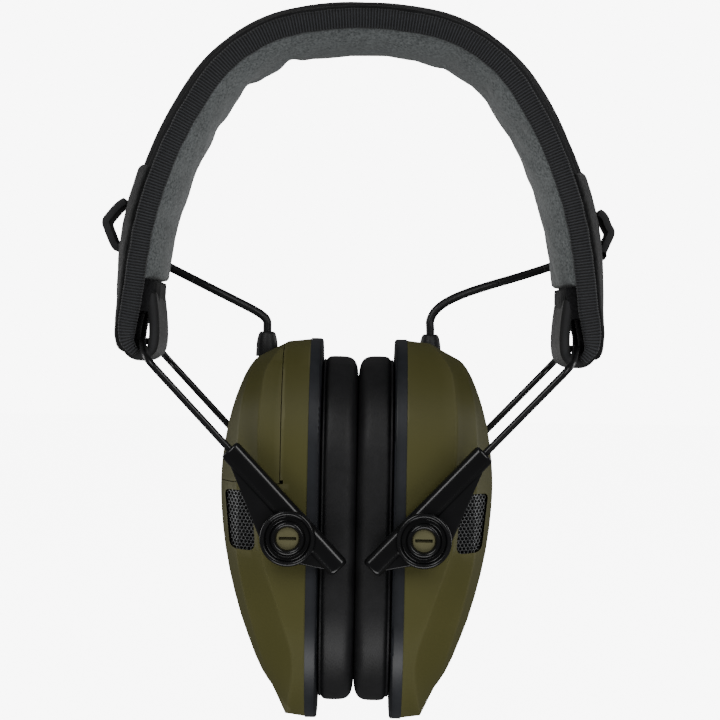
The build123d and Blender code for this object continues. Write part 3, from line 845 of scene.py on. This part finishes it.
def shell_rings():
    """Rings of (depth, y, z) from the plate out to the face, and the point that they close in on."""
    base = [(0.0, y, z) for y, z in rounded_outline(*BASE)]
    a = [(DEPTH_A(z), y, z) for y, z in rounded_outline(*CREASE_A)]
    b = [(DEPTH_B(z), y, z) for y, z in rounded_outline(*CREASE_B)]
    rings = [base]
    rings += [between(base, a, share) for share in (0.04, 0.35, 0.7, 0.95)] + [a]
    rings += [between(a, b, share) for share in (0.06, 0.35, 0.65, 0.94)] + [b]
    centre_y, centre_z = 0.0, -128.0
    for share in (0.975, 0.93, 0.86, 0.78, 0.69, 0.59, 0.49, 0.39, 0.29, 0.19, 0.1):
        ring = []
        for _, y, z in b:
            y, z = centre_y + (y - centre_y) * share, centre_z + (z - centre_z) * share
            ring.append((dome(y, z), y, z))
        rings.append(ring)
    return rings, (dome(centre_y, centre_z), centre_y, centre_z)


# The door's seam, the shell's tongue into the door and the grille, x outward, in millimetres.
SEAM_X, SEAM_Z, SEAM_HALF, NOTCH = 22.1, -128.0, 0.12, 1.1
TONGUE_X, TONGUE_Y, TONGUE_Z, TONGUE_HALF = 33.0, 8.0, -93.0, 4.5
GRILLE_TOP, GRILLE_BOTTOM, GRILLE_INNER = -129.4, -148.4, 28.4


def ring_mesh(rings, centre, k):
    """A bmesh skin through rings of (depth, y, z) in millimetres, mirrored for the -X side."""

    def place(point):
        depth, y, z = point
        return (k * (PLATE_BACK + depth * MM), y * MM, z * MM)

    mesh = bmesh.new()
    made = add_rows(mesh, [[place(point) for point in ring[::k]] for ring in rings], caps=False)
    last = made[-1]
    tip = mesh.verts.new(place(centre))
    for j in range(len(last)):
        mesh.faces.new((last[j], last[(j + 1) % len(last)], tip))
    return mesh


def apply_modifiers(piece):
    graph = bpy.context.evaluated_depsgraph_get()
    data = bpy.data.meshes.new_from_object(piece.evaluated_get(graph))
    piece.modifiers.clear()
    piece.data = data


def prism(name, outline, y_from, y_to):
    """A closed prism along Y through an outline of (x, z) points, in metres."""
    mesh = bmesh.new()
    near = [mesh.verts.new((x, y_from, z)) for x, z in outline]
    far = [mesh.verts.new((x, y_to, z)) for x, z in outline]
    mesh.faces.new(near)
    mesh.faces.new(list(reversed(far)))
    for j in range(len(outline)):
        following = (j + 1) % len(outline)
        mesh.faces.new((near[j], far[j], far[following], near[following]))
    bmesh.ops.recalc_face_normals(mesh, faces=mesh.faces)
    data = bpy.data.meshes.new(name)
    mesh.to_mesh(data)
    mesh.free()
    made = bpy.data.objects.new(name, data)
    bpy.context.collection.objects.link(made)
    return made


def grille_outline(k):
    """The grille's outline from the front: slanted ends and rounded corners."""
    corners = ((30.1, -130.3, 2.0), (28.9, -147.6, 2.4), (36.7, -147.2, 2.2), (38.6, -130.3, 1.8))
    points = []
    for index, (x, z, radius) in enumerate(corners):
        before, after = Vector(corners[index - 1][:2]), Vector(corners[(index + 1) % 4][:2])
        corner = Vector((x, z))
        enter = corner + (before - corner).normalized() * radius
        leave = corner + (after - corner).normalized() * radius
        for step in range(7):
            t = step / 6
            bend = enter * (1 - t) ** 2 + corner * (2 * t * (1 - t)) + leave * t**2
            points.append((k * bend.x * MM, bend.y * MM))
    return points


def grille_edges(z):
    """The outline's inner and outer x at a height, in millimetres."""
    return 30.1 + (z + 130.3) * 0.0694, 38.6 + (z + 130.3) * 0.1124


def cut_away(piece, cutter):
    made = modifier(piece, "BOOLEAN", operation="DIFFERENCE", solver="EXACT")
    made.object = cutter
    apply_modifiers(piece)
    bpy.data.objects.remove(cutter)


def in_door(place, clearance):
    """Whether a point (millimetres, x outward) is in the battery door, which the shell's tongue enters."""
    x, y, z = place
    beside = abs(y - TONGUE_Y) < TONGUE_HALF + clearance
    tongue = beside and x < TONGUE_X + clearance and z > TONGUE_Z - clearance
    return x > SEAM_X + clearance and z > SEAM_Z + clearance and not tongue


def in_notch(place):
    """The finger notch at the foot of the door's seam, at the front."""
    x, y, z = place
    return SEAM_X - NOTCH < x < SEAM_X and SEAM_Z - 0.2 < z < SEAM_Z + NOTCH and y < 0


def split_door(skin, k):
    """Cuts a skin along the door's seam and returns the shell's and the door's parts."""
    # Each cut has a distance, a direction and the lowest x (outward) and z that it reaches, in millimetres.
    cuts = (
        (SEAM_X, (k, 0, 0), 0, SEAM_Z - 2),
        (SEAM_X - NOTCH, (k, 0, 0), 0, SEAM_Z - 2),
        (SEAM_Z, (0, 0, 1), SEAM_X - 2, -200),
        (SEAM_Z + NOTCH, (0, 0, 1), SEAM_X - 2, -200),
        (TONGUE_X, (k, 0, 0), 0, TONGUE_Z - 2),
        (TONGUE_Z, (0, 0, 1), SEAM_X - 2, -200),
        (TONGUE_Y - TONGUE_HALF, (0, 1, 0), SEAM_X - 2, TONGUE_Z - 2),
        (TONGUE_Y + TONGUE_HALF, (0, 1, 0), SEAM_X - 2, TONGUE_Z - 2),
    )
    for distance, normal, low_x, low_z in cuts:
        for offset in (-SEAM_HALF, SEAM_HALF):
            faces = []
            for face in skin.faces:
                places = [(k * vertex.co.x / MM, vertex.co.z / MM) for vertex in face.verts]
                if max(x for x, z in places) > low_x and max(z for x, z in places) > low_z:
                    faces.append(face)
            edges = dict.fromkeys(edge for face in faces for edge in face.edges)
            verts = dict.fromkeys(vertex for face in faces for vertex in face.verts)
            place = Vector(normal) * (distance + offset) * MM
            geometry = [*verts, *edges, *faces]
            bmesh.ops.bisect_plane(skin, geom=geometry, dist=1e-7, plane_co=place, plane_no=normal)
    door = skin.copy()

    def drop(mesh, unwanted):
        faces = []
        for face in mesh.faces:
            middle = face.calc_center_median() / MM
            if unwanted((k * middle.x, middle.y, middle.z)):
                faces.append(face)
        bmesh.ops.delete(mesh, geom=faces, context="FACES")

    drop(door, lambda place: not in_door(place, SEAM_HALF))
    drop(skin, lambda place: in_door(place, -SEAM_HALF) or in_notch(place))
    return skin, door


def make_shells():
    rings, centre = shell_rings()
    for side, k in SIDES.items():
        skin = ring_mesh(rings, centre, k)
        if side == "l":
            skin, door_skin = split_door(skin, k)
            door = finish_piece("battery_door_skin", door_skin, None, "shell_plastic")
            modifier(door, "SOLIDIFY", thickness=WALL, offset=-1.0)
            dress_shell(door, "door", "battery_door")
        shell = finish_piece(f"cup_shell_skin_{side}", skin, None, "shell_plastic")
        modifier(shell, "SOLIDIFY", thickness=WALL, offset=-1.0)
        apply_modifiers(shell)
        cut_away(shell, prism("grille_cutter", grille_outline(k), -50 * MM, -6 * MM))
        dress_shell(shell, f"cup_{side}", f"cup_shell_{side}")


def dress_shell(piece, body, node):
    """Small edge radii, normals that follow the facets, and the piece's place in the model."""
    soften(piece, 0.22 * MM, angle=50)
    modifier(piece, "WEIGHTED_NORMAL", keep_sharp=False, weight=60)
    piece.data.shade_smooth()
    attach(piece, body)
    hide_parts(node)


# ---- microphone grilles -------------------------------------------------------------------------
def on_front(k, x, z, inset):
    """A place on the shell's front, at x outward and z in millimetres, pushed in square to it by inset."""
    depth = min(max(x - PLATE_BACK / MM, 12.0), DEPTH_MIDDLE(z) - 0.6)
    slope_x = (front_y(depth + 0.3, z) - front_y(depth - 0.3, z)) / 0.6
    slope_z = (front_y(depth, z + 0.3) - front_y(depth, z - 0.3)) / 0.6
    inward = Vector((slope_x, 1, slope_z)).normalized()
    place = Vector((depth + PLATE_BACK / MM, -front_y(depth, z), z)) + inward * inset
    return Vector((k * place.x, place.y, place.z)) * MM


def make_grille(side, k):
    """Perforated sheet in the opening, following the shell's chamfers, a little past the opening's edges."""
    pitch, hole, inset = 1.12, 0.52, 0.75
    row_step = pitch * math.sqrt(3) / 2
    mesh = bmesh.new()
    shared = {}

    def vertex(x, z):
        key = (round(x, 3), round(z, 3))
        if key not in shared:
            shared[key] = mesh.verts.new(on_front(k, x, z, inset))
        return shared[key]

    for row in range(int((GRILLE_TOP - GRILLE_BOTTOM + 3) / row_step)):
        z = GRILLE_BOTTOM - 1.5 + row * row_step
        inner, outer = grille_edges(z)
        for column in range(12):
            x = GRILLE_INNER - 1.2 + (column + 0.5 * (row % 2)) * pitch
            if not inner - 1.0 < x < outer + 0.8:
                continue
            rim, edge = [], []
            for c, sn in circle(6, start=0.5):
                rim.append(vertex(x + pitch / math.sqrt(3) * c, z + pitch / math.sqrt(3) * sn))
                edge.append(mesh.verts.new(on_front(k, x + hole * c, z + hole * sn, inset)))
            for j in range(6):
                following = (j + 1) % 6
                mesh.faces.new((rim[j], rim[following], edge[following], edge[j]))
    grille = finish_piece(f"mic_grille_mesh_{side}", mesh, None, "grille_metal")
    modifier(grille, "SOLIDIFY", thickness=0.3 * MM, offset=0)
    soften(grille, 0.05 * MM, segments=1)
    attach(grille, f"cup_{side}")
    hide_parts(f"mic_grille_{side}")


def make_felt(side, k):
    """Dark felt behind the sheet."""
    shares = [j / 12 for j in range(13)]
    steps = 16
    rows = []
    for i in range(steps + 1):
        z = GRILLE_BOTTOM - 1.6 + (GRILLE_TOP - GRILLE_BOTTOM + 3.2) * i / steps
        inner, outer = grille_edges(z)
        inner, outer = inner - 1.2, outer + 1.2
        near = [on_front(k, inner + (outer - inner) * share, z, 1.5) for share in shares]
        far = [on_front(k, inner + (outer - inner) * share, z, 2.2) for share in reversed(shares)]
        rows.append(near + far)
    grid_piece(f"mic_felt_{side}", rows, f"cup_{side}", "cuff_fabric")


# ---- cables -------------------------------------------------------------------------------------
CABLE_RADIUS = 1.3 * MM
CABLE_POINTS = {  # from inside the boot to inside the pad, on the +X side, in millimetres
    "r": (
        *((21.5, 8.0, -85.3), (21.5, 8.0, -82.0), (21.2, 8.2, -79.6), (23.3, 8.6, -75.9)),
        *((28.8, 9.8, -72.4), (38.0, 12.0, -69.0), (48.5, 14.4, -65.8), (58.0, 16.0, -62.5)),
        (64.5, 16.2, -60.2),
    ),
    "l": (
        *((28.0, 8.0, -85.3), (28.0, 8.0, -82.3), (28.1, 8.1, -80.3), (30.6, 8.8, -78.2)),
        *((38.0, 10.4, -74.6), (48.0, 13.3, -69.8), (58.5, 15.8, -64.7), (66.0, 16.2, -61.0)),
    ),
}
LOWER_SPAN, UPPER_SPAN = 31 * MM, 9 * MM


def tube_rows(places, radius):
    """Rings round a line of places, turned from one to the next without twist."""
    rows = []
    side = (places[1] - places[0]).normalized().orthogonal()
    for i, place in enumerate(places):
        ahead = (places[min(i + 1, len(places) - 1)] - places[max(i - 1, 0)]).normalized()
        side = (side - ahead * side.dot(ahead)).normalized()
        up = ahead.cross(side)
        rows.append([place + (side * c + up * sn) * radius for c, sn in circle(20)])
    return rows


def path_length(places):
    return sum((b - a).length for a, b in zip(places, places[1:]))


def cable_spans(places):
    """The cable's line of places, cut in three spans that share their ends."""
    upper_start = path_length(places) - UPPER_SPAN
    spans = {"lower": [], "middle": [], "upper": []}
    travelled = 0.0
    for before, place in zip([places[0]] + places, places):
        travelled += (place - before).length
        name = "lower" if travelled < LOWER_SPAN else "middle" if travelled < upper_start else "upper"
        spans[name].append(place)
    spans["middle"].insert(0, spans["lower"][-1])
    spans["upper"].insert(0, spans["middle"][-1])
    return spans


def make_cables():
    """Each cable is three spans, cut at set lengths from its ends where it crosses the tilt, slide and swing
    joints in turn.
    """
    for side, k in SIDES.items():
        route = [(k * x * MM, y * MM, z * MM) for x, y, z in CABLE_POINTS[side]]
        spans = cable_spans(nurbs_places(route, 24))
        for index, (name, span) in enumerate(spans.items()):
            piece = grid_piece(f"cable_{name}_{side}", tube_rows(span, CABLE_RADIUS), None, "cable_jacket")
            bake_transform(piece)
        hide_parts(f"cable_{side}")
        make_gland(side, k)


GLANDS = {"r": (21.5, 8.0), "l": (28.0, 8.0)}  # x outward and y, in millimetres
GLAND_RINGS = (  # height and radius, in millimetres
    *((-91.5, 3.4), (-87.6, 3.25), (-86.0, 3.0), (-84.6, 2.6), (-84.1, 2.3), (-83.9, 1.9), (-83.9, 1.2)),
)


def make_gland(side, k):
    """A moulded boot that narrows from the shell up to the cable."""
    x, y = GLANDS[side]
    rows = []
    for z, radius in GLAND_RINGS:
        rows.append([Vector((k * x + radius * c, y + radius * sn, z)) * MM for c, sn in circle(32)])
    gland = grid_piece(f"cable_boot_{side}", rows, f"cup_{side}", "gland_rubber")
    soften(gland, 0.25 * MM)
    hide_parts(f"cable_gland_{side}")
    return gland


# ---- slider arms --------------------------------------------------------------------------------
ARM_TOP, ARM_SLOPE = (36.5, -118.1), 46.4  # x outward and z in millimetres, degrees
HUB = (19.4, -143.2)
HUB_FACE = 39.4  # distance of the hub's inner face from the middle of the cup
HUB_PROFILE = (  # radius and distance from the inner face, in millimetres
    *((3.3, 0.0), (7.6, 0.0), (8.0, 0.5), (8.0, 5.8), (7.75, 6.35), (7.2, 6.6), (6.65, 6.35), (6.45, 5.7)),
    *((6.3, 5.2), (5.1, 5.2), (4.95, 5.6), (4.8, 6.1), (4.2, 6.5), (3.6, 6.2), (3.3, 5.5)),
)
BAR_MIDDLE, BAR_HALF, BAR_DEEP = 42.1, 3.2, 2.6
# Distance along the bar and its size there.
BAR_STATIONS = ((0, 0.8), (0.35, 0.93), (0.9, 1), (23, 1), (45.4, 1), (46.1, 0.93), (46.5, 0.8))


def bar_rows():
    """The bar that holds the wire, as (along, across, outward) in millimetres from the arm's top."""
    section = [(squared(c, 0.7) * BAR_HALF, squared(sn, 0.7) * BAR_DEEP) for c, sn in circle(40, start=0.5)]
    return [[(along, u * size, BAR_MIDDLE + v * size) for u, v in section] for along, size in BAR_STATIONS]


def web_rows(hub_along, hub_across):
    """The thin web between the bar and the hub."""
    outline = ((3.5, 1.5), (44.5, 1.5), (44.5, 2.6))
    outline += ((hub_along + 6.5, hub_across + 3.6), (hub_along - 3.6, hub_across + 6.6), (3.5, 2.9))
    levels = ((40.2, 1.0), (42.6, 1.0), (43.2, 0.94))
    return [[(t, 1.5 + (u - 1.5) * size, out) for t, u in outline] for out, size in levels]


def hub_rows(hub_along, hub_across):
    """The grooved hub round the pivot, from its inner face round to it again."""
    rows = []
    for radius, out in (*HUB_PROFILE, HUB_PROFILE[0]):
        spokes = [(radius * c, radius * sn) for c, sn in circle(72)]
        rows.append([(hub_along + t, hub_across + u, HUB_FACE + out) for t, u in spokes])
    return rows


def make_arms():
    """Each arm is one moulding: a bevelled bar that holds the wire, a web, and a hub round the pivot."""
    slope = math.radians(ARM_SLOPE)
    for side, k in SIDES.items():
        along = Vector((-math.cos(slope) * k, 0, -math.sin(slope)))
        across = Vector((math.sin(slope) * k, 0, -math.cos(slope)))
        top = Vector((ARM_TOP[0] * k, 0, ARM_TOP[1])) * MM
        to_hub = Vector((HUB[0] * k, 0, HUB[1])) * MM - top
        hub = (to_hub.dot(along) / MM, to_hub.dot(across) / MM)
        for name, y_side in (("front", -1), ("rear", 1)):
            outward = Vector((0, y_side, 0))
            mesh = bmesh.new()
            for rows, caps in ((bar_rows(), True), (web_rows(*hub), True), (hub_rows(*hub), False)):
                placed = []
                for row in rows:
                    placed.append([top + (along * t + across * u + outward * v) * MM for t, u, v in row])
                add_rows(mesh, placed, caps=caps)
            bmesh.ops.remove_doubles(mesh, verts=mesh.verts, dist=1e-7)
            arm = finish_piece(f"slider_arm_{name}_skin_{side}", mesh, f"arms_{side}", "arm_plastic")
            soften(arm, 0.25 * MM, angle=50)
            modifier(arm, "WEIGHTED_NORMAL", keep_sharp=False)
            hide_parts(f"slider_arm_{name}_{side}")


# ---- carried-over CAD nodes ---------------------------------------------------------------------
EDGE_RADIUS = {  # in millimetres, of the nodes whose names start so
    "base_plate": 0.3,
    "volume_dial": 0.15,
    "pivot_pins": 0.12,
    "plate_screws": 0.1,
    "audio_jack": 0.15,
}


def dress_cad_nodes():
    """Every CAD node takes its slot's material; hard pieces get small edge radii."""
    for entry in frame["record"]["subparts"]:
        piece = bpy.data.objects[entry["node"]]
        piece.data.materials.clear()
        piece.data.materials.append(MATERIALS[entry["material_slot"]])
        for start, radius in EDGE_RADIUS.items():
            if piece.name.startswith(start):
                soften(piece, radius * MM, segments=3, angle=35)
                modifier(piece, "WEIGHTED_NORMAL", keep_sharp=False)


def build():
    add_camera()
    make_cables()
    make_cover()
    make_pad()
    make_bindings()
    for side, k in SIDES.items():
        make_cuff(side, k)
        make_loop(side, k)
        make_flap(side, k)
        make_tab(side, k)
    make_cushions()
    make_shells()
    for side, k in SIDES.items():
        make_grille(side, k)
        make_felt(side, k)
    make_arms()
    dress_cad_nodes()
    pale = Surface("floor", (0.86, 0.86, 0.86), 0.9)
    pale.shader.inputs["Emission Color"].default_value = (1, 1, 1, 1)
    pale.shader.inputs["Emission Strength"].default_value = 8.0
    add_stage(cad_box[0][2] - 0.5 * MM, pale.material)
    light_up()


def light_up():
    """A dim room that looks white to the camera, soft boxes in front and below, and two rim lights."""
    world = bpy.data.worlds.new("studio")
    bpy.context.scene.world = world
    world.use_nodes = True
    tree = world.node_tree
    room = tree.nodes["Background"]
    room.inputs["Color"].default_value = (1, 1, 1, 1)
    room.inputs["Strength"].default_value = 0.1
    seen = tree.nodes.new("ShaderNodeBackground")
    seen.inputs["Color"].default_value = (1, 1, 1, 1)
    seen.inputs["Strength"].default_value = 8.4
    path = tree.nodes.new("ShaderNodeLightPath")
    either = tree.nodes.new("ShaderNodeMixShader")
    tree.links.new(path.outputs["Is Camera Ray"], either.inputs["Fac"])
    tree.links.new(room.outputs["Background"], either.inputs[1])
    tree.links.new(seen.outputs["Background"], either.inputs[2])
    tree.links.new(either.outputs["Shader"], tree.nodes["World Output"].inputs["Surface"])
    add_area_light("key", (-0.55, -1.1, 0.75), (0, 0, -0.1), (0.35, 0.9), 5.2)
    add_area_light("fill", (0.7, -1.1, 0.55), (0, 0, -0.1), (0.35, 0.9), 4.6)
    add_area_light("low", (0, -0.55, -0.85), (0, 0, 0.0), (0.9, 0.4), 4.2)
    add_area_light("rim_left", (-0.8, 0.35, 0.05), (0, 0, -0.12), (0.3, 0.6), 1.8)
    add_area_light("rim_right", (0.8, 0.35, 0.05), (0, 0, -0.12), (0.3, 0.6), 1.8)


build()
